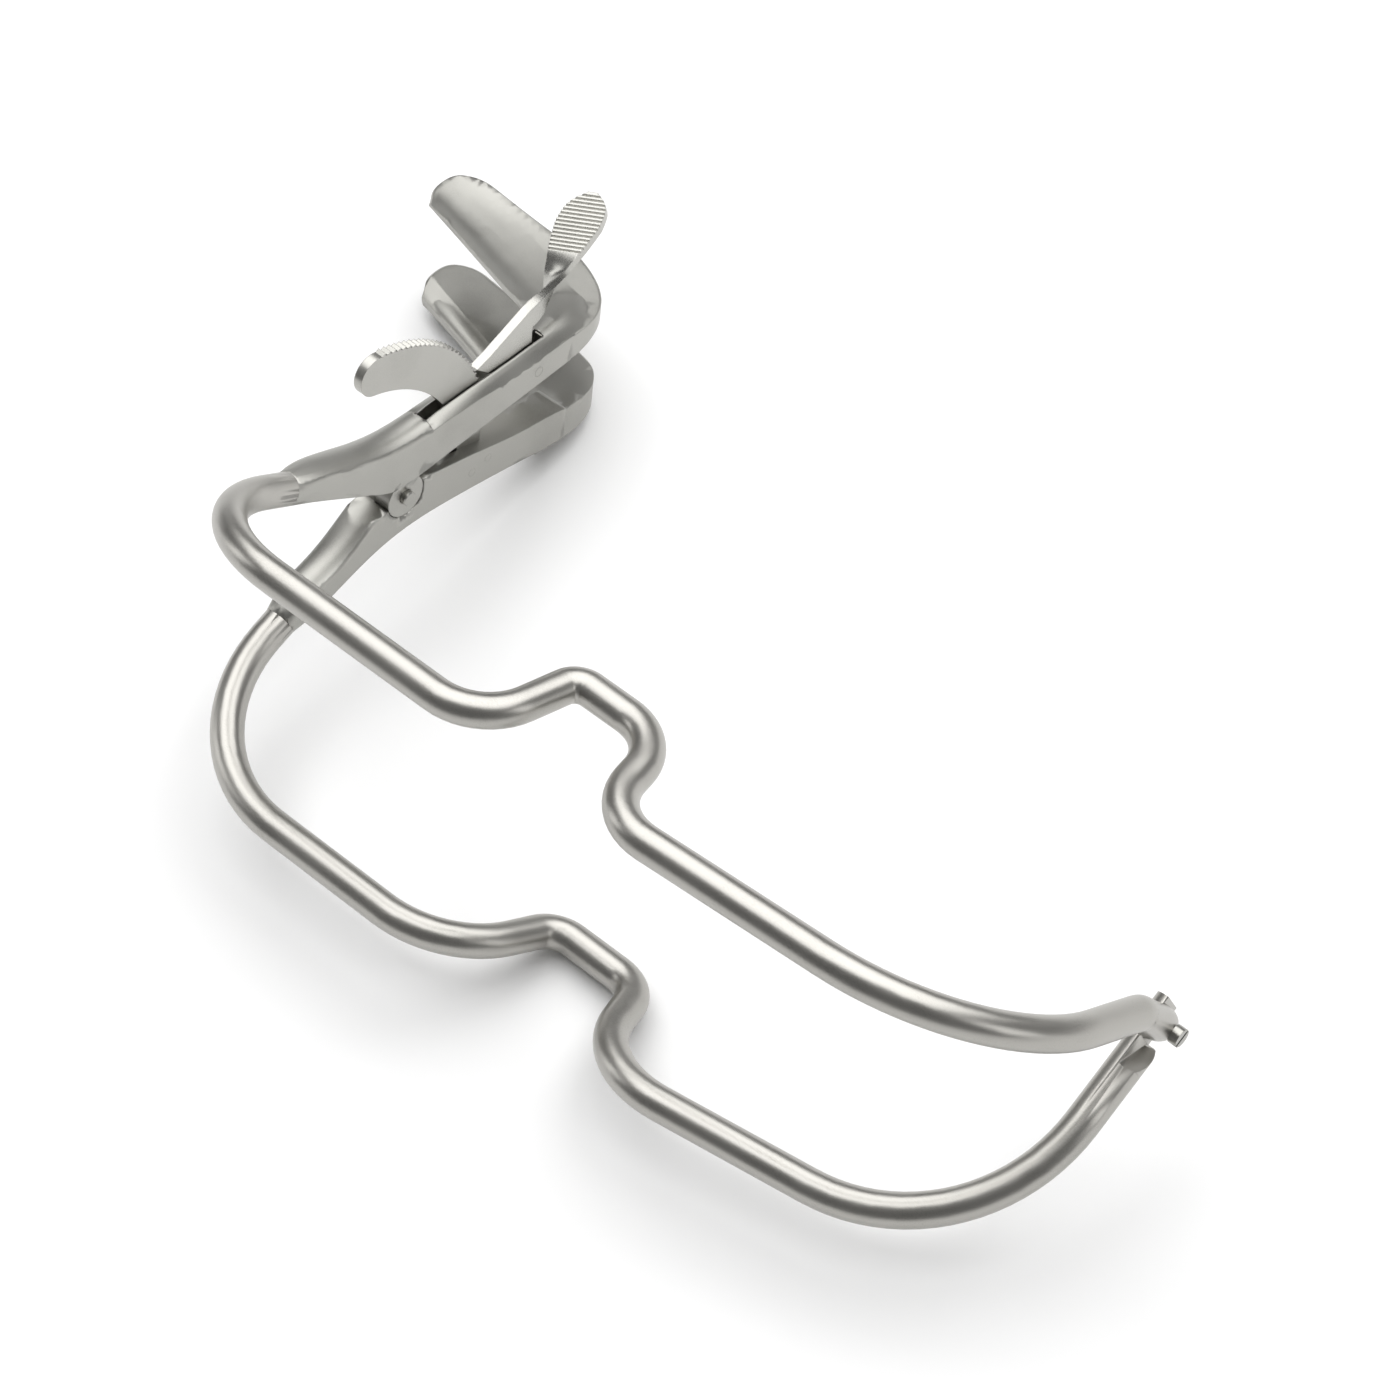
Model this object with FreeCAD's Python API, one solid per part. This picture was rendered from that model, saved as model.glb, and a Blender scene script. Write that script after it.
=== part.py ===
import FreeCAD, Part
import os
from math import acos, atan2, cos, degrees, pi, radians, sin, sqrt, tan

os.makedirs("parts", exist_ok=True)
V = FreeCAD.Vector

# A ratchet side mouth gag in stainless steel. It is drawn with X along the hinge axis, which both
# halves share, Y from the hinge to the jaws and Z up. The origin is where the hinge axis meets the
# inner side face of the arms. At the end it is laid down as it rests on a table.

# Bent rods
rod_d = 5.0
hinge_span = 141.0          # side face of the arms to the lap face of the far hinge
rod_start = 22.0            # how far behind the hinge the rods meet the forged arms
# Each bow is bent by hand and differs a little from the other. Reach is behind the hinge axis, rise
# is away from the other bow, bump is the finger bump on the long run and lean is its tilt outwards.
upper_shape = {
    "side": 1, "slope": 0.448, "reach": 44.0, "rise": 21.8, "corner_r": 20.0, "bump_x": 56.3,
    "flank_near": 2.7, "flank_far": 3.5, "bump_top": 15.9, "bump_height": 16.3, "lean": -1.0,
    "valley_r": 9.2, "top_near_r": 2.9, "top_far_r": 8.6, "far_reach": 40.4, "far_rise": 22.1,
    "far_r": 27.0,
}
lower_shape = {
    "side": -1, "slope": 0.457, "reach": 44.4, "rise": 23.5, "corner_r": 22.4, "bump_x": 53.6,
    "flank_near": 4.5, "flank_far": 6.7, "bump_top": 16.3, "bump_height": 19.15, "lean": 13.2,
    "valley_r": 14.6, "top_near_r": 4.4, "top_far_r": 6.2, "far_reach": 34.6, "far_rise": 23.0,
    "far_r": 28.5,
}
near_leg_x = -1.7           # the legs lean out a little from the arms to the near corners
eye_neck_r = 5.0

# Forged arms and blades
arm_t = 5.6
lug_r = 3.5
lug_gap = 0.15
lap_gap = 0.10
upper_close = 2.05          # the arms meet on these planes: height at the hinge axis and slope
upper_close_angle = 9.37
lower_close = 1.85
lower_close_angle = -5.99
upper_relief = 30.5         # behind the hinge the arms are cut back for the swing
lower_relief = -14.7
far_end = (-32.2, 51.0)     # ends of the straight far and near edges of the blades
near_end = (-36.7, 40.2)
flange = 3.2                # width of the turned near edge
blade_t = 1.7               # thickness at the floor of the hollow
near_lip = 2.8              # thickness at the lip along the near edge of the upper blade
lower_near_lip = 2.1
far_lip = 3.0               # thickness at the rim along the far edge
near_bevel = 2.0            # how far the near edge of the upper blade is turned up
lower_near_bevel = 1.1
upper_mating = 10.2         # heights of the mating faces of the blades
lower_mating = -4.5
outer_round = 1.6           # rounding of the outer edges, growing from nothing at the arm
mating_round = 1.1

# Hinge pins
pin_d = 2.3
pin_proud = 0.9
run_gap = 0.04              # radial clearance of a pin in the piece that turns on it
eye_r = 3.3
tongue_over = 3.2
lap_r = 7.6
screw_proud = 1.4
screw_slot = 0.5

# Rack and catch
plate_t = 1.5
plate_gap = 0.2             # each side of rack and catch in the slot of the upper arm
slot_back = 4.8
slot_front = 31.3
catch_y = 27.0              # pivot of the catch in the upper arm
catch_z = 9.0
catch_pin_d = 1.6
catch_eye_r = 2.1
nose_y = 15.6
nose_z = 14.0
catch_ratio = 0.60          # the catch swings this much for each degree that the jaws open
nose_gap = 0.12
rack_in_r = 22.4
rack_in_y = -9.8
rack_in_z = -1.3
rack_open = 56.0            # the toothed edge runs this far past the nose
tooth_pitch = 1.05
tooth_depth = 0.45
rivet_d = 1.3
pad_long = 11.7
pad_wide = 7.2
pad_neck = 5.0
pad_t = 1.3
pad_grooves = 14
groove_depth = 0.32
spring_t = 0.35

# How the instrument lies on a table
rest_roll = -16.95

rod_r = rod_d / 2
mid_x = -arm_t / 2


def arc(a, b, c):
    return Part.Arc(a, b, c).toShape()


def line(a, b):
    return Part.LineSegment(a, b).toShape()


def cylinder_x(r, x0, x1, y=0.0, z=0.0):
    return Part.makeCylinder(r, x1 - x0, V(x0, y, z), V(1, 0, 0))


def plate_x(points, x0, x1):
    """Flat plate from a closed outline of (y, z) points, between two X planes."""
    ring = [V(x0, y, z) for y, z in points]
    face = Part.Face(Part.makePolygon(ring + ring[:1]))
    return face.extrude(V(x1 - x0, 0, 0))


def turned(y, z, angle):
    a = radians(angle)
    return y * cos(a) - z * sin(a), y * sin(a) + z * cos(a)


def rod_path(points, radii):
    """Straight runs joined by tangent arcs; one radius for each inner point."""
    edges = []
    last = points[0]
    for before, corner, after, r in zip(points, points[1:], points[2:], radii):
        into = (before - corner).normalize()
        out = (after - corner).normalize()
        half = acos(max(-1.0, min(1.0, into.dot(out)))) / 2
        reach = r / tan(half)
        start = corner + into * reach
        end = corner + out * reach
        bisector = (into + out).normalize()
        middle = corner + bisector * (r / sin(half) - r)
        edges += [line(last, start), arc(start, middle, end)]
        last = end
    edges.append(line(last, points[-1]))
    return Part.Wire(edges)


def sweep_rod(points, radii):
    path = rod_path(points, radii)
    ring = Part.makeCircle(rod_r, points[0], points[1] - points[0])
    return path.makePipeShell([Part.Wire(ring)], True, False)


def section(inner, outer, low, high, crown, belly=0.0):
    """Four-sided section of a forging: flat sides, crowned or hollow top and bottom."""
    mid = [(inner[0] + outer[0]) / 2, (inner[1] + outer[1]) / 2]
    a = V(inner[0], inner[1], low)
    b = V(outer[0], outer[1], low)
    c = V(outer[0], outer[1], high)
    d = V(inner[0], inner[1], high)
    bulge = 0.02
    return Part.Wire([
        arc(a, V(mid[0], mid[1], low - belly - bulge), b),
        line(b, c),
        arc(c, V(mid[0], mid[1], high + crown + bulge), d),
        line(d, a),
    ])


def rod_section(centre, direction):
    """The rod's round end as a four-sided section, so that the forging grows out of it."""
    up = V(1, 0, 0).cross(direction).normalize()
    across = direction.cross(up)
    points = [centre + (across * cos(k * pi / 4) + up * sin(k * pi / 4)) * rod_r for k in range(8)]
    a, b, c, d = points[5], points[7], points[1], points[3]
    return Part.Wire([
        arc(a, points[6], b),
        arc(b, points[0], c),
        arc(c, points[2], d),
        arc(d, points[4], a),
    ])


def blend(a, b, part):
    return a + (b - a) * part


def half_space(y0, z0, angle, up):
    """Everything above (or below) a plane along X through (y0, z0), tilted by this angle."""
    size = 200.0
    block = Part.makeBox(size, size, size, V(-size / 2, -size / 2, 0.0 if up else -size))
    block.rotate(V(0, 0, 0), V(1, 0, 0), angle)
    block.translate(V(0, y0, z0))
    return block


def relief(low_angle, high_angle):
    """Wedge behind the hinge between two angles above the -Y direction, for the swing of the arms."""
    reach = 60.0
    a, b = radians(low_angle), radians(high_angle)
    return plate_x([(0, 0), (-reach * cos(a), reach * sin(a)), (-reach * cos(b), reach * sin(b))], -20.0, 20.0)


def capsule_run(points, r):
    """Round channel cutter through a few points."""
    solid = Part.makeSphere(r, points[0])
    for a, b in zip(points, points[1:]):
        solid = solid.fuse(Part.makeCylinder(r, (b - a).Length, a, b - a)).fuse(Part.makeSphere(r, b))
    return solid


def forged_arm(rod_end, rod_dir, sections):
    """Arm as one loft: it grows out of the rod's round end and runs to the bend."""
    wires = [rod_section(rod_end, rod_dir)]
    for y, low, high, crown in sections:
        wires.append(section((-arm_t, y), (0.0, y), low, high, crown))
    return Part.makeLoft(wires, True, False)


def plan_solid(low, high):
    """Plan shape of bend and blade: round outside, round tip, straight near edge, inner corner."""
    def at(x, y):
        return V(x, y, low)

    bend = Part.BSplineCurve()
    bend.interpolate(
        Points=[at(*p) for p in [(0, 33), (-0.3, 37), (-2, 42), (-6, 45.8), (-12.2, 48.2), far_end]],
        InitialTangent=V(0, 4, 0), FinalTangent=V(-9.8, 1.1, 0))
    tip = Part.BSplineCurve()
    tip.interpolate(
        Points=[at(*p) for p in [far_end, (-37, 50.4), (-39.1, 48.6), (-39.5, 46.2), (-38.9, 43.4), near_end]],
        InitialTangent=V(-3, 0.34, 0), FinalTangent=V(2.4, -4.2, 0))
    near_start = at(-12.5, 33.4)
    wall = at(-arm_t, 27.9)
    return Part.Face(Part.Wire([
        line(at(0, 27.9), at(0, 33)),
        bend.toShape(),
        tip.toShape(),
        arc(at(*near_end), at(-25.0, near_y(-25.0) + 0.1), near_start),
        arc(near_start, at(-7.5, 31.1), wall),
        line(wall, at(0, 27.9)),
    ])).extrude(V(0, 0, high - low))


def near_y(x):
    return blend(32.9, 40.2, (-11.0 - x) / 25.7)


def far_y(x):
    return 51.1 - 0.011 * (x + 30.0) ** 2


def trough_tool(mating, side, lip):
    """What the hollow of a blade takes away: nothing at the bend and the tip, full between them."""
    wires = []
    for x, part in [(-5.0, 0.0), (-14.0, 0.75), (-23.0, 1.0), (-32.0, 0.95), (-41.0, 0.0)]:
        near = near_y(x)
        far = far_y(x)
        points = []
        for y, thick in [
            (near - 6.0, lip + 0.8), (near, lip), (near + flange, blade_t + 0.05),
            (blend(near, far, 0.45), blade_t + 0.05), (blend(near, far, 0.75), blend(blade_t, far_lip, 0.4)),
            (far, far_lip), (far + 6.0, far_lip + 1.4),
        ]:
            full = far_lip + 0.2
            points.append(V(x, y, mating + side * (full + (thick - full) * part)))
        curve = Part.BSplineCurve()
        curve.interpolate(points)
        high = mating + side * 12.0
        first = V(x, near - 6.0, high)
        last = V(x, far + 6.0, high)
        wires.append(Part.Wire([
            curve.toShape(), line(curve.value(curve.LastParameter), last),
            line(last, first), line(first, curve.value(curve.FirstParameter)),
        ]))
    return Part.makeLoft(wires, True, False)


def near_chamfer(level, side, rise):
    """Slope along the near edge on the mating side, where the flange is turned away."""
    wires = []
    for x in (-8.0, -44.0):
        y = near_y(x)
        wires.append(Part.makePolygon([
            V(x, y - 4.0, level - side * 2.0), V(x, y + flange, level - side * 2.0),
            V(x, y + flange, level), V(x, y, level + side * rise),
            V(x, y - 4.0, level + side * rise * (1 + 4.0 / flange)), V(x, y - 4.0, level - side * 2.0)]))
    return Part.makeLoft(wires, True, True)


def round_outline(blade, level_z, radius):
    """Rounds the outer edge of one face of a blade, from nothing at the arm to the full radius."""
    edges = []
    for edge in blade.Edges:
        box = edge.BoundBox
        long_bend = box.XLength > 30.0 and box.YMax > 50.0
        if long_bend and abs(box.Center.z - level_z) < 2.0:
            edges.append(edge)
    return blade.Solids[0].makeFillet(0.1, radius, edges)


def blade_profile(inner, outer):
    """Solid between the two faces of a blade; each face is a list of (x, z) points."""
    curves = []
    for points in (inner, outer):
        curve = Part.BSplineCurve()
        curve.interpolate([V(x, 20.0, z) for x, z in points])
        curves.append(curve)
    a, b = curves
    face = Part.Face(Part.Wire([
        a.toShape(), line(a.value(a.LastParameter), b.value(b.LastParameter)),
        b.toShape(), line(b.value(b.FirstParameter), a.value(a.FirstParameter)),
    ]))
    return face.extrude(V(0, 40, 0))


# Bows: one bent rod each, from the forged arm to the far hinge
def bow_start(shape):
    height = shape["rise"] - shape["slope"] * (shape["reach"] - rod_start)
    return V(mid_x, -rod_start, shape["side"] * height)


def bow_direction(shape):
    """Direction of the rod where it runs forward into the forged arm."""
    corner = V(near_leg_x, -shape["reach"], shape["side"] * shape["rise"])
    return (bow_start(shape) - corner).normalize()


def bow_rod(shape, ends, end_radii):
    side = shape["side"]
    lean = radians(shape["lean"])
    y = -shape["reach"]
    z = side * shape["rise"]
    top_y = y + shape["bump_height"] * cos(lean)
    top_z = z + side * shape["bump_height"] * sin(lean)
    x0 = shape["bump_x"]
    x1 = x0 + shape["flank_near"]
    x2 = x1 + shape["bump_top"]
    points = [
        bow_start(shape), V(near_leg_x, y, z), V(x0, y, z), V(x1, top_y, top_z), V(x2, top_y, top_z),
        V(x2 + shape["flank_far"], y, z), V(hinge_span, -shape["far_reach"], side * shape["far_rise"]),
    ]
    radii = [shape["corner_r"], shape["valley_r"], shape["top_near_r"], shape["top_far_r"]]
    return sweep_rod(points + ends, radii + [shape["valley_r"], shape["far_r"]] + end_radii)


def make_upper_bow():
    rod = bow_rod(upper_shape, [V(hinge_span, -6.0, 6.2), V(hinge_span, 0, 0)], [eye_neck_r])
    eye = cylinder_x(eye_r, hinge_span, hinge_span + rod_r)
    bow = rod.fuse(eye).removeSplitter()
    lap = cylinder_x(lap_r, hinge_span - 2 * rod_d, hinge_span + lap_gap / 2)
    bore = cylinder_x(pin_d / 2 + run_gap, hinge_span - rod_d, hinge_span + rod_d)
    return bow.cut(lap).cut(bore)


def make_lower_bow():
    into = V(0, 8.0, 6.6).normalize()
    rod = bow_rod(lower_shape, [into * tongue_over + V(hinge_span, 0, 0)], [])
    lap = cylinder_x(lap_r, hinge_span - lap_gap / 2, hinge_span + 2 * rod_d)
    bore = cylinder_x(pin_d / 2, hinge_span - rod_d, hinge_span + rod_d)
    return rod.cut(lap).cut(bore)


# Toothed rack: its edge follows the path that the catch's nose takes as the jaws open
def nose_path(angle, inset=0.0):
    """Where the nose lies on the lower half when the jaws have opened by this angle."""
    y, z = turned(nose_y - catch_y, nose_z - catch_z, -catch_ratio * angle)
    y, z = turned(catch_y + y, catch_z + z, angle)
    r = sqrt(y * y + z * z)
    return y * (r - inset) / r, z * (r - inset) / r


rack_x0 = mid_x - plate_t / 2
rack_x1 = mid_x + plate_t / 2
rack_foot_z = -4.6
rack_first = -22.0          # the teeth start this far before the nose


def rack_outline():
    """Closed wire at the rack's far face: smooth outer edge, round tip, inner arc and foot."""
    x = rack_x0
    steps = 8
    outer = []
    for k in range(steps + 1):
        y, z = nose_path(blend(rack_first, rack_open, k / steps), nose_gap + tooth_depth)
        outer.append(V(x, y, z))
    centre = V(x, rack_in_y, rack_in_z)

    def inner(a):
        return centre + V(0, cos(radians(a)), sin(radians(a))) * rack_in_r

    outer_edge = Part.BSplineCurve()
    outer_edge.interpolate(outer)
    tip_start = outer[-1]
    tip_end = inner(80.5)
    away = (outer[-1] - outer[-2]).normalize()
    chord = (tip_end - tip_start)
    tip_mid = (tip_start + tip_end) * 0.5 + away * chord.Length * 0.48
    root = inner(-8.0)
    foot_in = V(x, root.y, rack_foot_z)
    foot_out = V(x, outer[0].y, rack_foot_z)
    return Part.Wire([
        outer_edge.toShape(),
        arc(tip_start, tip_mid, tip_end),
        arc(tip_end, inner(36.0), root),
        line(root, foot_in),
        line(foot_in, foot_out),
        line(foot_out, outer[0]),
    ])


def rack_teeth():
    """Saw teeth on the outer edge, one after another along the nose's path."""
    teeth = []
    angle = rack_first + 9.0
    while angle < rack_open - 0.5:
        tip = nose_path(angle, nose_gap)
        base = nose_path(angle, nose_gap + tooth_depth + 0.25)
        r = sqrt(tip[0] ** 2 + tip[1] ** 2)
        ahead = angle + degrees(tooth_pitch / r) * 0.92
        end = nose_path(ahead, nose_gap + tooth_depth + 0.25)
        teeth.append(plate_x([base, tip, end], rack_x0, rack_x1))
        angle += degrees(tooth_pitch / r)
    return teeth


rivets = [(13.9, -3.2), (17.2, -2.2)]


def make_rack():
    plate = Part.Face(rack_outline()).extrude(V(plate_t, 0, 0))
    rack = plate.multiFuse(rack_teeth())
    for y, z in rivets:
        rack = rack.cut(cylinder_x(rivet_d / 2, rack_x0 - 1, rack_x1 + 1, y, z))
    return rack


def slot_box(y0, y1, z0, z1, gap):
    size = plate_t + 2 * gap
    return Part.makeBox(size, y1 - y0, z1 - z0, V(mid_x - size / 2, y0, z0))


# Upper jaw
def make_upper_jaw():
    arm = forged_arm(bow_start(upper_shape), bow_direction(upper_shape), [
        (-15.0, 7.8, 12.4, 0.7), (-8.0, 4.6, 10.6, 0.9), (-1.0, 2.0, 9.55, 1.0),
        (6.0, 3.0, 9.8, 1.1), (13.0, 4.15, 10.5, 1.1), (20.0, 5.3, 11.5, 0.9),
        (27.0, 6.45, 12.0, 0.4), (34.0, 7.6, 12.05, 0.1),
    ])
    top = [(1.0, 12.0), (-4.0, 12.25), (-10.0, 13.0), (-20.0, 13.2), (-31.0, 13.2), (-42.0, 13.2)]
    mating = [(1.0, 7.9), (-4.0, 8.3), (-9.0, 9.5), (-15.0, 10.1), (-25.0, upper_mating), (-42.0, upper_mating)]
    blade = blade_profile(mating, top).common(plan_solid(0.0, 20.0))
    blade = round_outline(blade, top[-1][1], outer_round)
    blade = blade.cut(trough_tool(upper_mating, 1, near_lip))
    blade = blade.cut(near_chamfer(upper_mating, 1, near_bevel))
    jaw = arm.fuse(blade).cut(half_space(0.0, upper_close, upper_close_angle, False).cut(
        Part.makeBox(200, 100, 200, V(-100, -100, -100))))
    jaw = jaw.cut(relief(-60.0, upper_relief))
    jaw = jaw.cut(capsule_run([V(mid_x, 8.2, 10.9), V(mid_x, 22.7, 12.6), V(mid_x, 34.3, 13.0)], 2.4))
    lug = cylinder_x(lug_r, mid_x + lap_gap / 2, 0.0)
    jaw = jaw.fuse(lug)
    notch = cylinder_x(lug_r + lug_gap, -arm_t - 1.0, mid_x + lap_gap / 2)
    jaw = jaw.cut(notch)
    jaw = jaw.cut(slot_box(slot_back, slot_front, 0.0, 20.0, plate_gap))
    jaw = jaw.cut(cylinder_x(pin_d / 2 + run_gap, -arm_t - 1.0, 1.0))
    return jaw.cut(cylinder_x(catch_pin_d / 2, -arm_t - 1.0, 1.0, catch_y, catch_z))


# Lower jaw
def make_lower_jaw():
    arm = forged_arm(bow_start(lower_shape), bow_direction(lower_shape), [
        (-15.0, -11.4, -7.6, 0.7), (-8.0, -8.4, -3.0, 0.6), (-1.0, -6.5, 1.3, 0.2),
        (6.0, -6.0, 1.2, 0.1), (13.0, -6.2, 0.4, 0.1), (20.0, -6.6, -0.6, 0.1),
        (27.0, -7.15, -1.2, 0.05), (34.0, -7.5, -1.7, 0.0),
    ])
    outer = [(1.0, -7.5), (-4.0, -7.5), (-10.0, -7.5), (-20.0, -7.5), (-31.0, -7.5), (-42.0, -7.5)]
    mating = [(1.0, -2.0), (-4.0, -2.4), (-9.0, -3.5), (-15.0, -4.2), (-25.0, lower_mating), (-42.0, lower_mating)]
    blade = blade_profile(mating, outer).common(plan_solid(-20.0, 0.0))
    blade = round_outline(blade, outer[-1][1], outer_round)
    blade = round_outline(blade, mating[3][1], mating_round)
    blade = blade.cut(trough_tool(lower_mating, -1, lower_near_lip))
    blade = blade.cut(near_chamfer(lower_mating, -1, lower_near_bevel))
    jaw = arm.fuse(blade).cut(half_space(0.0, lower_close, lower_close_angle, True).cut(
        Part.makeBox(200, 100, 200, V(-100, -100, -100))))
    jaw = jaw.cut(relief(lower_relief, 60.0))
    lug = cylinder_x(lug_r, -arm_t, mid_x - lap_gap / 2)
    jaw = jaw.fuse(lug)
    notch = cylinder_x(lug_r + lug_gap, mid_x - lap_gap / 2, 1.0)
    jaw = jaw.cut(notch)
    foot = rack_outline().BoundBox
    jaw = jaw.cut(slot_box(foot.YMax - 8.5, foot.YMax + 0.1, rack_foot_z, 5.0, 0.01))
    for y, z in rivets:
        jaw = jaw.cut(cylinder_x(rivet_d / 2, -arm_t - 1.0, 1.0, y, z))
    return jaw.cut(cylinder_x(pin_d / 2, -arm_t - 1.0, 1.0))


# Thumb catch: a flat lever in the slot, with a twisted neck and a grooved thumb pad
pad_base = V(mid_x, 33.5, 25.7)
pad_across = V(0.90, 0.31, 0.226).normalize()
pad_along = V(-0.348, 0.878, 0.30).normalize()
pad_up = pad_across.cross(pad_along).normalize()


neck_start = V(mid_x, 28.4, 21.8)
neck_down = V(0, 0.522, -0.853)
neck_high = 2.1


def pad_point(across, along, up=0.0):
    return pad_base + pad_across * across + pad_along * along + pad_up * up


def pad_solid():
    half = pad_wide / 2
    left = [pad_point(-pad_neck / 2, 0), pad_point(-half, 5.5), pad_point(-half * 0.86, 9.6)]
    right = [pad_point(pad_neck / 2, 0), pad_point(half, 5.5), pad_point(half * 0.96, 9.4)]
    tip = pad_point(0.0, pad_long)
    sides = []
    for side in (left, right):
        curve = Part.BSplineCurve()
        curve.interpolate(side)
        sides.append(curve.toShape())
    wire = Part.Wire([line(right[0], left[0]), sides[0], arc(left[2], tip, right[2]), sides[1]])
    return Part.Face(wire).extrude(pad_up * -pad_t)


def neck_section(part):
    """Section of the neck: the lever's top edge runs on as the pad's right edge while it twists."""
    wide = (neck_down * (1 - part) - pad_across * part).normalize()
    thin = V(-1, 0, 0) * (1 - part) + pad_up * part
    thin = (thin - wide * thin.dot(wide)).normalize()
    edge = neck_start + (pad_point(pad_neck / 2, 0.3, -pad_t / 2) - neck_start) * part
    across = wide * blend(neck_high, pad_neck, part * part)
    half = thin * (blend(plate_t, pad_t, part) / 2)
    corners = [edge + half, edge + across + half, edge + across - half, edge - half]
    return Part.makePolygon(corners + corners[:1])


def make_catch():
    blade = plate_x([
        (nose_y, nose_z), (18.2, 12.2), (22.3, 8.6), (catch_y - 1.2, catch_z - 1.7),
        (catch_y + 2.1, catch_z), (29.2, 12.5), (29.4, 19.9), (28.6, 21.95),
    ], rack_x0, rack_x1)
    eye = cylinder_x(catch_eye_r, rack_x0, rack_x1, catch_y, catch_z)
    neck = Part.makeLoft([neck_section(k / 4) for k in range(5)], True, False)
    catch = blade.multiFuse([eye, neck, pad_solid()]).removeSplitter()
    pitch = (pad_long - 1.2) / pad_grooves
    for k in range(pad_grooves):
        at = 0.7 + (k + 0.5) * pitch
        cut = [pad_point(-pad_wide, at, -groove_depth), pad_point(-pad_wide, at - pitch * 0.42, 0.1),
               pad_point(-pad_wide, at + pitch * 0.42, 0.1)]
        groove = Part.Face(Part.makePolygon(cut + cut[:1])).extrude(pad_across * (2 * pad_wide))
        catch = catch.cut(groove)
    return catch.cut(cylinder_x(catch_pin_d / 2 + run_gap, rack_x0 - 1, rack_x1 + 1, catch_y, catch_z))


def make_spring():
    back = slot_front
    return plate_x([
        (back, 7.2), (back, 9.2), (29.65, 13.4), (29.65 - spring_t, 13.2),
        (back - spring_t, 9.1), (back - spring_t, 7.2),
    ], rack_x0 + 0.05, rack_x1 - 0.05)


def make_hinge_pin():
    pin = cylinder_x(pin_d / 2, -arm_t, pin_proud)
    edge = [e for e in pin.Edges if abs(e.BoundBox.XMin - pin_proud) < 0.01 and e.BoundBox.XLength < 0.01]
    return pin.makeChamfer(0.2, edge)


def make_screw():
    end = hinge_span + rod_r + screw_proud
    screw = cylinder_x(pin_d / 2, hinge_span - rod_r, end)
    head = cylinder_x(pin_d / 2 + 0.25, hinge_span + rod_r + 0.05, end)
    slot = Part.makeBox(2.0, rod_d, screw_slot, V(end - 0.7, -rod_d / 2, -screw_slot / 2))
    slot.rotate(V(0, 0, 0), V(1, 0, 0), 35.0)
    return screw.fuse(head).removeSplitter().cut(slot)


def make_rivet(y, z):
    return cylinder_x(rivet_d / 2, -arm_t, 0.0, y, z)


pieces = {
    "upper_jaw": make_upper_jaw(),
    "lower_jaw": make_lower_jaw(),
    "upper_bow": make_upper_bow(),
    "lower_bow": make_lower_bow(),
    "ratchet_rack": make_rack(),
    "thumb_catch": make_catch(),
    "catch_pin": cylinder_x(catch_pin_d / 2, -arm_t, 0.0, catch_y, catch_z),
    "catch_spring": make_spring(),
    "jaw_hinge_pin": make_hinge_pin(),
    "far_hinge_screw": make_screw(),
    "rack_rivet_rear": make_rivet(*rivets[0]),
    "rack_rivet_front": make_rivet(*rivets[1]),
}

# Lay the instrument on the table, on the bump of the lower bow and the far edge of the lower blade.
# The origin is then under the middle of the whole object, at table height.
lay = FreeCAD.Placement(V(0, 0, 0), FreeCAD.Rotation(V(1, 0, 0), rest_roll))
box = FreeCAD.BoundBox()
for shape in pieces.values():
    shape.Placement = lay * shape.Placement
    box.add(shape.optimalBoundingBox(True, False))
for name, shape in pieces.items():
    shape.translate(V(-box.Center.x, -box.Center.y, -box.ZMin))
    print(name, len(shape.Solids), round(shape.Volume, 1), shape.isValid())
    shape.exportStep(f"parts/{name}.step")
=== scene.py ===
from math import cos, pi, radians, sin

import bmesh
import bpy
from mathutils import Matrix, Vector


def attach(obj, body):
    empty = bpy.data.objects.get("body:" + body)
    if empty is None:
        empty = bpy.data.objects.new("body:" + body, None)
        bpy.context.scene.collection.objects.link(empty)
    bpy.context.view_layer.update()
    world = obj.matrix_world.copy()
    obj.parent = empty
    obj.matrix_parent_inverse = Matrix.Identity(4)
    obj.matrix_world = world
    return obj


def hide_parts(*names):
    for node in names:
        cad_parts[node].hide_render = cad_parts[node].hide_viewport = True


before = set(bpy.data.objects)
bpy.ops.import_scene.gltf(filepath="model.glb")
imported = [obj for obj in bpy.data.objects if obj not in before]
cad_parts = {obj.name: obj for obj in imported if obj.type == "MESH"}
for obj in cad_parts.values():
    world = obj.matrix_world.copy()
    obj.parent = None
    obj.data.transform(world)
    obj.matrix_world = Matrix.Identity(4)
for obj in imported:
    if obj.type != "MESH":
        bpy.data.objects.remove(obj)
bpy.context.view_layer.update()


# Forged jaws. Stainless steel, forged and ground, then blasted with fine beads: the satin face
# scatters the light, so its reflections are broad and soft. Each jaw grows out of the end of one
# bow, and the two are hinged to each other by the pin.
mm = 0.001
# Shapes are drawn in mm from the jaw hinge: x to the far hinge, y to the jaws, z up. The instrument
# lies rolled about the axis of its hinges.
lie = (Matrix.Translation((-0.052694, -0.000255, 0.021654)) @ Matrix.Rotation(radians(-16.95), 4, "X")
       @ Matrix.Scale(mm, 4))


def linear(hex_colour):
    """Linear colour with alpha from an sRGB hex value."""
    channels = [int(hex_colour[k:k + 2], 16) / 255 for k in (1, 3, 5)]
    return [c / 12.92 if c <= 0.04045 else ((c + 0.055) / 1.055) ** 2.4 for c in channels] + [1.0]


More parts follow.
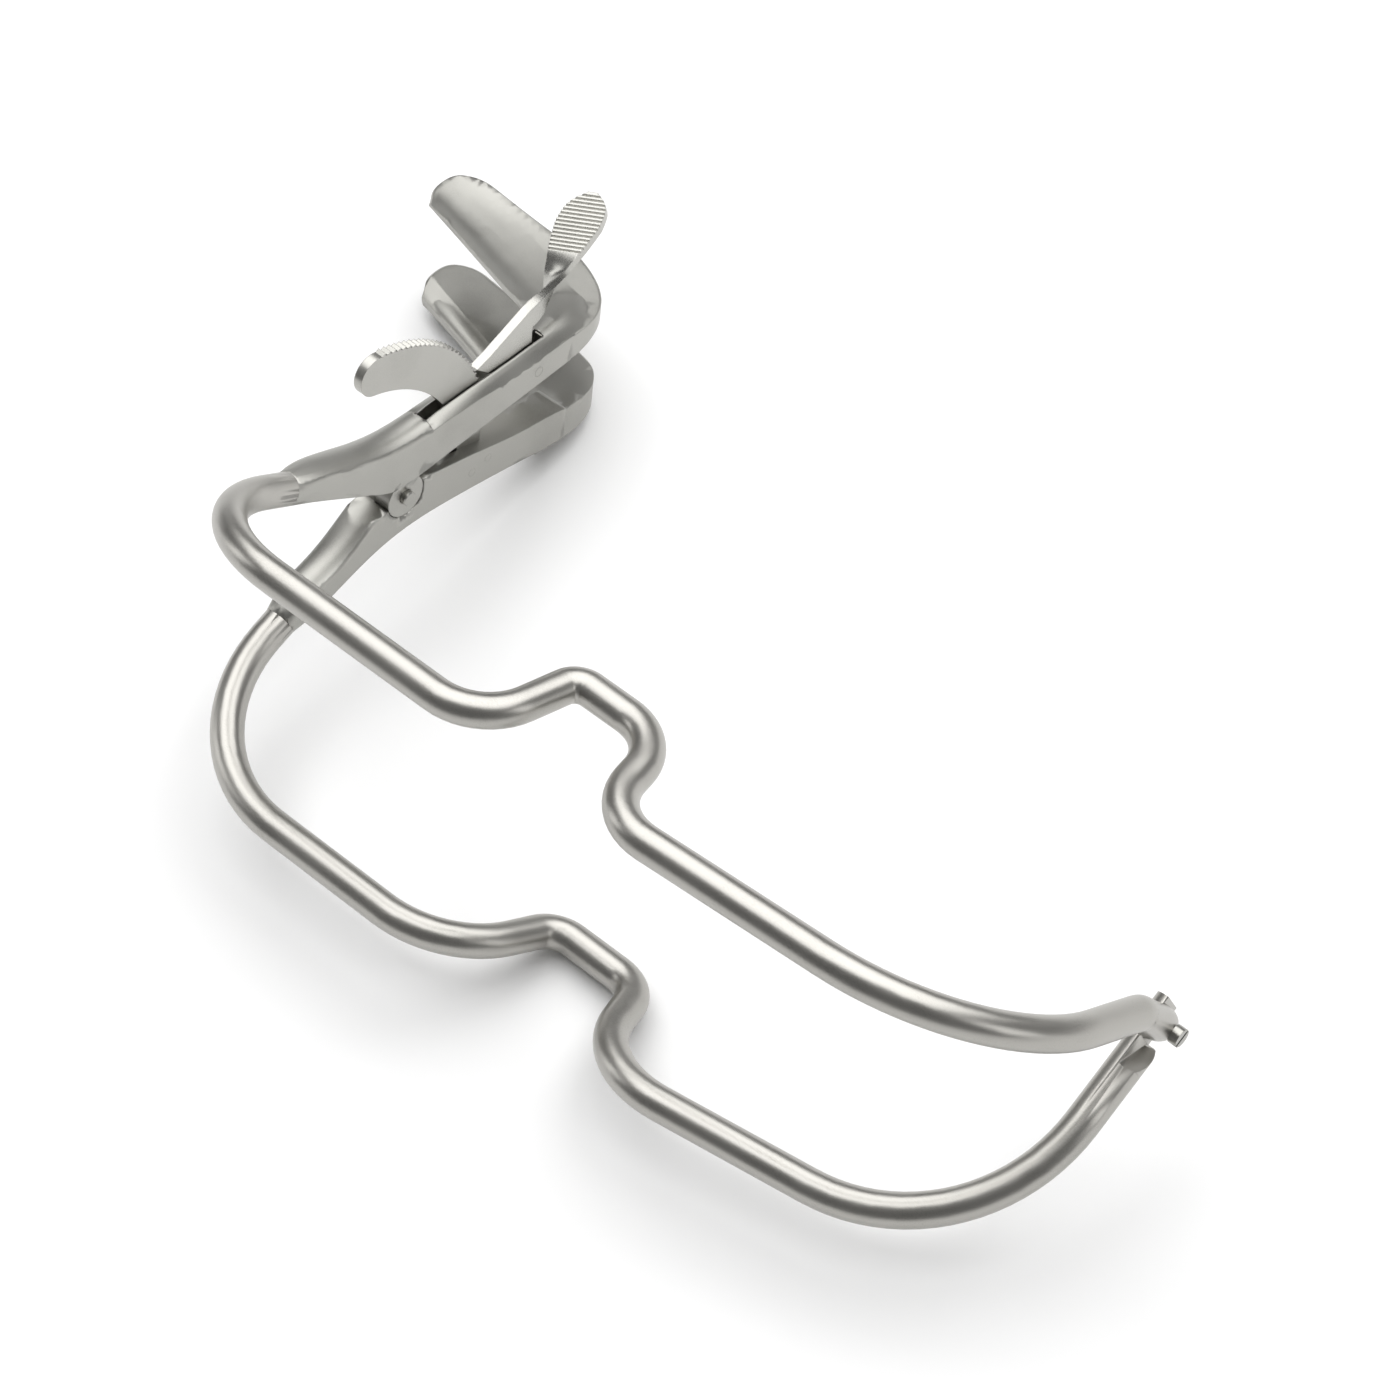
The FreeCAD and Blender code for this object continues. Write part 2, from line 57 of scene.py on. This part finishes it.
def add_node(material, kind, links=None, **values):
    """Adds a shader node. links joins its inputs to sockets; values set inputs or properties."""
    tree = material.node_tree
    node = tree.nodes.new("ShaderNode" + kind)
    for key, value in values.items():
        if key in node.inputs:
            node.inputs[key].default_value = value
        else:
            setattr(node, key, value)
    for key, socket in (links or {}).items():
        tree.links.new(socket, node.inputs[key])
    return node


def steel(name, dark, light, rough, grain, grain_depth, stretch=(1.0, 1.0, 1.0), edge=0.15 * mm):
    """Stainless steel whose tone and gloss drift from place to place, with a fine grain in its surface.

    The grain, its depth and the radius of the eased edges are in metres. Blasting and brushing leave
    marks of about 0.03 mm, too fine to show, so the grain is drawn three to seven times as coarse.
    """
    material = bpy.data.materials.new(name)
    material.use_nodes = True
    material.node_tree.nodes.clear()
    place = add_node(material, "TexCoord").outputs["Object"]
    # Hand finishing leaves clouds about 11 mm wide.
    cloud = add_node(material, "TexNoise", {"Vector": place}, Scale=1 / (11 * mm), Detail=5.0)
    along = add_node(material, "Mapping", {"Vector": place}, Scale=stretch)
    grit = add_node(material, "TexNoise", {"Vector": along.outputs["Vector"]}, Scale=1 / grain, Detail=3.0)
    mixed = add_node(material, "Math", {0: cloud.outputs["Fac"], 1: grit.outputs["Fac"]}, operation="ADD")
    tone = add_node(material, "ValToRGB", {"Fac": mixed.outputs["Value"]})
    for stop, position, colour in zip(tone.color_ramp.elements, (0.75, 1.0), (dark, light)):
        stop.position = position
        stop.color = linear(colour)
    gloss = add_node(material, "MapRange", {"Value": mixed.outputs["Value"]}, **{
        "From Min": 0.7, "From Max": 1.3, "To Min": rough - 0.04, "To Max": rough + 0.05})
    eased = add_node(material, "Bevel", Radius=edge)
    bump = add_node(material, "Bump", {"Height": grit.outputs["Fac"], "Normal": eased.outputs["Normal"]},
                    Strength=0.4, Distance=grain_depth)
    shader = add_node(material, "BsdfPrincipled", {
        "Base Color": tone.outputs["Color"], "Roughness": gloss.outputs["Result"],
        "Normal": bump.outputs["Normal"]}, Metallic=1.0)
    add_node(material, "OutputMaterial", {"Surface": shader.outputs["BSDF"]})
    return material


def crease(mesh):
    """Shades a mesh smooth, but for edges where it turns by more than 28 degrees."""
    for face in mesh.polygons:
        face.use_smooth = True
    mesh.set_sharp_from_angle(angle=radians(28))


def piece_of(name, shape, material):
    """Makes an object of a bmesh."""
    bmesh.ops.recalc_face_normals(shape, faces=shape.faces)
    mesh = bpy.data.meshes.new(name)
    shape.to_mesh(mesh)
    shape.free()
    crease(mesh)
    mesh.materials.append(material)
    piece = bpy.data.objects.new(name, mesh)
    bpy.context.collection.objects.link(piece)
    return piece


def copy_of(node, name, material):
    """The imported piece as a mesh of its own, with its seams joined."""
    shape = bmesh.new()
    shape.from_mesh(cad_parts[node].data)
    bmesh.ops.remove_doubles(shape, verts=shape.verts, dist=0.001 * mm)
    return piece_of(name, shape, material)


def lofted(name, sections, material):
    """Closed body through sections of as many points each. Like points are joined, so it may twist."""
    shape = bmesh.new()
    rings = [[shape.verts.new(lie @ Vector(point)) for point in section] for section in sections]
    for ring, following in zip(rings, rings[1:]):
        for k in range(len(ring)):
            shape.faces.new((ring[k - 1], ring[k], following[k], following[k - 1]))
    shape.faces.new(rings[0])
    shape.faces.new(rings[-1])
    return piece_of(name, shape, material)


def combine(piece, other, operation):
    """Adds the other body to a piece, or takes it away."""
    modifier = piece.modifiers.new("shape", "BOOLEAN")
    modifier.operation = operation
    modifier.solver = "EXACT"
    modifier.object = other
    made = bpy.data.meshes.new_from_object(piece.evaluated_get(bpy.context.evaluated_depsgraph_get()))
    piece.modifiers.clear()
    piece.data = made
    bpy.data.objects.remove(other)
    crease(made)


def even_shading(piece):
    """Large faces keep their own direction, so that only the roundings shade."""
    evened = piece.modifiers.new("even shading", "WEIGHTED_NORMAL")
    evened.keep_sharp = True
    evened.weight = 100


blasted = steel("blasted stainless steel", "#a09f9a", "#acaba6", 0.40, 0.12 * mm, 0.008 * mm, edge=0.3 * mm)

# The upper arm is crowned along its top, from its rear to the shoulder of the bend, and the slot for
# the rack and the catch is cut through the crown. Each station gives how far along it is, then how far
# across and how high its right edge, its ridge and its left edge are.
crown = [(5.0, 0.0, 9.7, -2.8, 10.5, -5.6, 9.7), (7.0, 0.0, 9.9, -2.8, 11.05, -5.6, 9.9),
         (10.5, 0.0, 10.2, -2.8, 11.5, -5.6, 10.2), (14.5, 0.0, 10.5, -2.8, 12.0, -5.6, 10.5),
         (18.7, 0.0, 10.5, -2.8, 12.4, -5.6, 10.5), (22.8, 0.0, 10.8, -2.8, 12.85, -5.6, 10.8),
         (26.0, 0.0, 11.15, -2.8, 13.35, -5.6, 11.2), (29.0, 0.0, 11.5, -2.9, 13.7, -5.7, 11.8),
         (33.0, -0.1, 12.05, -3.4, 13.9, -9.5, 11.6), (36.0, -0.6, 12.1, -4.2, 13.75, -11.5, 11.3),
         (39.0, -1.6, 11.9, -5.0, 13.3, -12.0, 11.0), (41.5, -3.0, 11.2, -6.0, 12.5, -11.0, 10.8),
         (43.5, -4.5, 10.8, -6.5, 11.7, -9.5, 10.6)]
arm_stations = 9  # the first of them lie on the straight arm, the rest on the bend
root_depth = 1.5  # of the crown below its edges, inside the arm
clear = 17.0  # above everything on the arm
slot_left, slot_right, slot_rear, slot_front = -3.76, -1.84, 4.79, 29.5

forged = copy_of("upper_jaw", "upper_jaw_crowned", blasted)
above = [[(-6.6, y, edge), (1.0, y, edge), (1.0, y, clear), (-6.6, y, clear)]
         for y, _, edge, *_ in crown[:arm_stations]]
combine(forged, lofted("above", above, blasted), "DIFFERENCE")


def half_crown(edge, ridge, parts):
    """Points from ridge to edge, steeper the nearer they are to the edge. Both are (across, height)."""
    return [(ridge[0] + (edge[0] - ridge[0]) * u, edge[1] + (ridge[1] - edge[1]) * (1 - u ** 1.8))
            for u in parts]


parts = [1.0, 0.9, 0.75, 0.6, 0.45, 0.3, 0.15]
sections = []
for y, right, right_z, ridge, ridge_z, left, left_z in crown:
    right -= 0.01  # just inside the arm's side
    arch = (half_crown((right, right_z), (ridge, ridge_z), parts) + [(ridge, ridge_z)]
            + half_crown((left, left_z), (ridge, ridge_z), reversed(parts)))
    sections.append([(x, y, z) for x, z in
                     [(left, left_z - root_depth), (right, right_z - root_depth)] + arch])
top = lofted("top", sections, blasted)
slot = [[(slot_left, y, 5.0), (slot_right, y, 5.0), (slot_right, y, clear), (slot_left, y, clear)]
        for y in (slot_rear, slot_front)]
combine(top, lofted("slot", slot, blasted), "DIFFERENCE")
combine(forged, top, "UNION")

# Root of the upper arm: it grows out of the full round of the rod, and its section turns from a
# circle into the arm's, which is flat below and at the sides and bulges on top.
rod_end = Vector((-2.8, -22.0, 11.944))
rod_radius = 2.49  # just inside the rod's own round
wide, tall = Vector((0.998, -0.045, 0)) * rod_radius, Vector((0, 0.41, 0.912)) * rod_radius
turns = [pi * (1.25 + k / 8) for k in range(16)]
stations = [[rod_end + wide * cos(turn) + tall * sin(turn) for turn in turns]]
half_width = 2.78
for y, low, high, bulge in [(-15.0, 7.8, 12.37, 0.7), (-8.0, 4.6, 10.57, 0.9), (-1.5, 2.6, 9.5, 0.95)]:
    below = [(u, low) for u in (-1, -0.5, 0, 0.5)]
    right = [(1, low + (high - low) * u) for u in (0, 0.25, 0.5, 0.75)]
    over = [(u, high + bulge * (1 - u * u)) for u in (1, 0.5, 0, -0.5)]
    left = [(-1, high + (low - high) * u) for u in (0, 0.25, 0.5, 0.75)]
    stations.append([Vector((rod_end.x + half_width * u, y, z)) for u, z in below + right + over + left])


def between(stations, t):
    """Section at t, from 0 to 3, on the smooth curves through four stations."""
    weights = [(1 - t) * (2 - t) * (3 - t) / 6, t * (2 - t) * (3 - t) / 2,
               t * (t - 1) * (3 - t) / 2, t * (t - 1) * (t - 2) / 6]
    return [sum((point * weight for point, weight in zip(points, weights)), Vector())
            for points in zip(*stations)]


combine(forged, lofted("root", [between(stations, k / 6) for k in range(19)], blasted), "UNION")
even_shading(forged)
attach(forged, "upper_half")
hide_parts("upper_jaw")

# The near edge of the lower blade is only eased on its mating side, in a narrow rounded band that
# fades at both ends. Each pair gives how far in from the edge a point of the band is, and how deep.
lower = copy_of("lower_jaw", "lower_jaw_eased", blasted)
band = [(3.3, 0.0), (2.4, 0.02), (1.7, 0.1), (1.1, 0.25), (0.6, 0.48), (0.25, 0.75), (0.05, 1.05)]
mating_face = -4.51
lip = []
for x in (-11.5, -16.0, -21.0, -26.0, -31.0, -34.0, -36.4):
    y = 32.9 + 7.3 * (-11.0 - x) / 25.7
    sunk = 0.7 * (1 - min(1.0, (-11.5 - x) / 4.5, (36.4 + x) / 5.4))
    lip.append([(x, y + 4.2, -6.0), (x, y + 4.2, -4.6 - sunk)]
               + [(x, y + far, mating_face - down - sunk) for far, down in band] + [(x, y + 0.4, -6.0)])
combine(lower, lofted("lip", lip, blasted), "UNION")
even_shading(lower)
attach(lower, "lower_half")
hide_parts("lower_jaw")


# Catch pin and rack rivets. Plain stainless pins across the arms, peened over, then ground and
# blasted flush with the arms' sides, so only their faint round outlines show.
def finish_nodes(material, *names):
    """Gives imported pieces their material."""
    for name in names:
        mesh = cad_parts[name].data
        mesh.materials.clear()
        mesh.materials.append(material)


finish_nodes(blasted, "catch_pin", "rack_rivet_rear", "rack_rivet_front")


# Bows. Round stainless rod, drawn and bent, then brushed along its length: brighter than the jaws,
# with one soft streak of light along each rod. Each bow ends in its jaw and at the far hinge.
drawn = steel("brushed stainless rod", "#a6a49f", "#b1afaa", 0.34, 0.12 * mm, 0.003 * mm, (0.25, 1.0, 1.0))
far_hinge = 141.0  # lap face of the far hinge


def round_along(points, radii):
    """Rings around a line of points in the plane of the far hinge."""
    rings = []
    for k, (y, z) in enumerate(points):
        before, after = Vector(points[max(k - 1, 0)]), Vector(points[min(k + 1, len(points) - 1)])
        way = Vector((0, *(after - before))).normalized()
        side = way.cross(Vector((1, 0, 0)))
        rings.append([Vector((far_hinge, y, z)) + (Vector((cos(turn), 0, 0)) + side * sin(turn)) * radii[k]
                      for turn in (j * pi / 16 for j in range(32))])
    return rings


def disc(radius, near, far):
    """Round cutter on the axis of the hinges, between two distances from the jaw hinge."""
    shape = bmesh.new()
    bmesh.ops.create_cone(
        shape, cap_ends=True, segments=48, radius1=radius, radius2=radius, depth=far - near,
        matrix=lie @ Matrix.Translation(((near + far) / 2, 0, 0)) @ Matrix.Rotation(radians(90), 4, "Y"))
    return piece_of("disc", shape, drawn)


# The far end of the upper bow is rounded off around the screw, and lapped flat on its inner side.
upper = copy_of("upper_bow", "upper_bow_rounded", drawn)
combine(upper, disc(8.0, far_hinge - 5.0, far_hinge + 6.0), "DIFFERENCE")
route = [(-7.3, 6.8), (-6.845, 6.59), (-6.44, 6.38), (-6.05, 6.13), (-5.69, 5.85), (-5.352, 5.531),
         (-4.2, 4.34), (-3.0, 3.1), (-2.0, 2.05), (-1.0, 1.05), (0.0, 0.0), (0.7, -0.7), (1.3, -1.3),
         (1.75, -1.75), (1.95, -1.95)]
girth = [2.47, 2.48, 2.49, 2.495, 2.5, 2.5, 2.5, 2.52, 2.56, 2.6, 2.55, 2.4, 1.95, 1.2, 0.5]
end = lofted("end", round_along(route, girth), drawn)
combine(end, disc(8.02, far_hinge - 11.0, far_hinge + 0.075), "DIFFERENCE")
combine(upper, end, "UNION")
even_shading(upper)
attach(upper, "upper_half")
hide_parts("upper_bow")

# The far end of the lower bow is cut away in a slope down to its lap face, clear of the upper bow at
# the widest opening, and round the eye of the upper bow.
under = copy_of("lower_bow", "lower_bow_sloped", drawn)
out, over = Vector((-0.829, -0.56)), Vector((-0.56, 0.829))  # away along the rod, and square to it
fill = [Vector((-0.1745, 0.2536)) + out * far for far in (3.0, 5.0, 7.0, 8.0)]
combine(under, lofted("fill", round_along(fill, [2.495] * 4), drawn), "UNION")
slope = []
for x, back in [(far_hinge - 0.04, 0.0), (far_hinge + 6.0, 2.416)]:
    corners = [(-4.0 + back, -7.7), (14.0 + back, 8.5), (14.0 + back, 12.0), (-8.0 + back, 12.0)]
    slope.append([(x, *(out * far + over * high)) for far, high in corners])
combine(under, lofted("slope", slope, drawn), "DIFFERENCE")
combine(under, disc(3.6, far_hinge - 0.035, far_hinge + 6.0), "DIFFERENCE")
even_shading(under)
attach(under, "lower_half")
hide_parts("lower_bow")


# Rack. Flat stainless plate with ground faces and cut teeth, riveted into a slot of the lower jaw.
# The fine grinding gives its faces an even sheen and leaves the teeth bright.
ground = steel("ground stainless plate", "#a6a5a0", "#b2b1ac", 0.33, 0.15 * mm, 0.006 * mm)
finish_nodes(ground, "ratchet_rack")


# Thumb catch. Forged stainless lever, finely ground, so its narrow top edge catches the light. It
# turns on a pin across the upper jaw's slot, and its neck twists from upright plate to level pad.
polished = steel("finely ground catch steel", "#aaa9a4", "#b6b5b0", 0.27, 0.15 * mm, 0.004 * mm)
plate = [(15.6, 14.1), (18.2, 15.2), (20.2, 16.3), (22.2, 17.4), (24.2, 18.5), (26.2, 19.6), (27.4, 20.15),
         (27.8, 19.9), (27.3, 18.0), (27.1, 15.0), (27.3, 12.6), (28.3, 10.9), (29.0, 9.7), (29.1, 8.6),
         (28.6, 7.6), (27.6, 7.0), (26.4, 7.0), (25.4, 7.5), (22.3, 8.6), (18.2, 12.2)]
lever = lofted("thumb_catch_forged", [[(x, y, z) for y, z in plate] for x in (-3.55, -2.05)], polished)

pad_across = Vector((0.90, 0.31, 0.226)).normalized()
pad_along = Vector((-0.348, 0.878, 0.30)).normalized()
pad_up = pad_across.cross(pad_along)
pad_base = Vector((-3.1, 33.5, 26.2))
pad_length, pad_thick = 11.7, 1.3
pad_narrow, pad_broad = 2.5, 3.65  # half widths at the neck and at the broadest place
broadest, tip_from = 5.5, 8.2  # along the pad
groove_depth, grooves = 0.3, 14
level = Matrix((pad_across, pad_along, pad_up)).transposed().to_quaternion()
upright = Matrix(((0, -0.478, 0.878), (0, 0.878, 0.478), (-1, 0, 0))).transposed().to_quaternion()


def strip(edge, turn, width, thick, cut=0.0):
    """Section of the neck or pad: its right edge, how it is turned, its width and its thickness."""
    way, up = turn @ Vector((1, 0, 0)), turn @ Vector((0, 0, 1))
    face = [edge + way * (part - 1) * width + up * (thick / 2 - cut)
            for part in (1, 0.97, 0.75, 0.5, 0.25, 0.03, 0)]
    return face + [edge - way * width - up * thick / 2, edge - up * thick / 2]


def neck_edge(part):
    """Right edge of the neck, on the curve from the plate's top to the corner of the pad."""
    plate_top, leaving = Vector((-2.8, 25.6, 19.27)), Vector((0, 8.8, 4.8))
    pad_corner, arriving = pad_base + pad_across * pad_narrow - pad_up * pad_thick / 2, pad_along * 9.0
    square, cube = part ** 2, part ** 3
    return ((2 * cube - 3 * square + 1) * plate_top + (3 * square - 2 * cube) * pad_corner
            + (cube - 2 * square + part) * leaving + (cube - square) * arriving)


# Along the neck: how far, how much of the twist is done, width and thickness
neck = [(0.0, 0.0, 3.6, 1.48), (0.12, 0.02, 3.7, 1.48), (0.24, 0.08, 3.8, 1.4), (0.36, 0.2, 3.9, 1.2),
        (0.48, 0.38, 4.0, 1.0), (0.6, 0.6, 4.1, 0.9), (0.72, 0.8, 4.3, 0.9), (0.86, 0.95, 4.6, 1.0),
        (1.0, 1.0, 5.0, 1.3)]
sections = [strip(neck_edge(part), upright.slerp(level, twist), width, thick)
            for part, twist, width, thick in neck]
steps = grooves * 4 + 6  # four to each groove, and plain ends
for k in range(1, steps + 1):
    far = k * pad_length / steps
    if far < broadest:
        half = pad_narrow + (pad_broad - pad_narrow) * (far / broadest) ** 0.8
    else:
        half = pad_broad - 0.03 * (far - broadest) ** 2
    if far > tip_from:
        half *= max(0.12, 1 - ((far - tip_from) / (pad_length - tip_from)) ** 2) ** 0.5
    cut = groove_depth if 0.3 < far < pad_length - 0.5 and k % 4 == 2 else 0.0
    edge = pad_base + pad_along * far + pad_across * half - pad_up * pad_thick / 2
    sections.append(strip(edge, level, 2 * half, pad_thick, cut))
combine(lever, lofted("pad", sections, polished), "UNION")
even_shading(lever)
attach(lever, "catch")
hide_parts("thumb_catch")


# Catch spring. A leaf of hardened spring steel in the slot behind the catch, which presses its nose
# on the rack. It is as it left the rolls, so it is darker than the ground pieces.
rolled = steel("rolled spring steel", "#74726d", "#807e79", 0.3, 0.2 * mm, 0.006 * mm, (1.0, 0.1, 1.0))
finish_nodes(rolled, "catch_spring")


# Hinge pin and far screw. Stainless steel, turned on a lathe and fixed in the lower half. The fine
# rings of the tool give their ends a brighter, streaked look.
turned = steel("turned stainless pin", "#9c9b96", "#a8a7a2", 0.3, 0.1 * mm, 0.01 * mm, (0.2, 1.0, 1.0))
finish_nodes(turned, "jaw_hinge_pin", "far_hinge_screw")


# Table. A plain matt white one, which the object lies on.
shape = bmesh.new()
bmesh.ops.create_grid(shape, x_segments=1, y_segments=1, size=2.0,
                      matrix=Matrix.Translation((0, 0, -0.0001)))
paint = bpy.data.materials.new("matt white table")
paint.use_nodes = True
painted = paint.node_tree.nodes["Principled BSDF"]
painted.inputs["Base Color"].default_value = linear("#fbfbfb")
painted.inputs["Roughness"].default_value = 0.9
piece_of("table", shape, paint)


# Light of a photographer's tent: a large soft light above and behind, dim ones at both sides, and a
# grey surround that the steel mirrors in its darker streaks
def soft_light(name, place, size, power):
    """Rectangular light in metres and watts that faces the object."""
    data = bpy.data.lights.new(name, "AREA")
    data.shape = "RECTANGLE"
    data.size, data.size_y = size
    data.energy = power
    light = bpy.data.objects.new(name, data)
    light.location = place
    light.rotation_euler = (-Vector(place)).to_track_quat("-Z", "Y").to_euler()
    bpy.context.collection.objects.link(light)


soft_light("softbox above", (-0.15, 0.35, 1.0), (1.7, 1.5), 20.0)
soft_light("softbox left", (-1.0, -0.5, 0.35), (0.4, 0.6), 1.3)
soft_light("softbox right", (1.0, 0.2, 0.4), (0.4, 0.6), 1.3)
world = bpy.data.worlds.new("studio")
world.use_nodes = True
world.node_tree.nodes["Background"].inputs["Color"].default_value = linear("#747474")
world.node_tree.nodes["Background"].inputs["Strength"].default_value = 1.0
scene = bpy.context.scene
scene.world = world
scene.view_settings.view_transform = "Standard"


# Camera of the photograph: a long lens above and to the right of the object
lens_data = bpy.data.cameras.new("camera")
lens_data.lens = 115.714
lens_data.sensor_width = 36.0
lens_data.clip_end = 20.0
camera = bpy.data.objects.new("camera", lens_data)
camera.location = (0.28755, -0.22665, 0.53758)
camera.rotation_euler = (radians(34.574), radians(6.062), radians(42.498))
bpy.context.collection.objects.link(camera)
scene.camera = camera
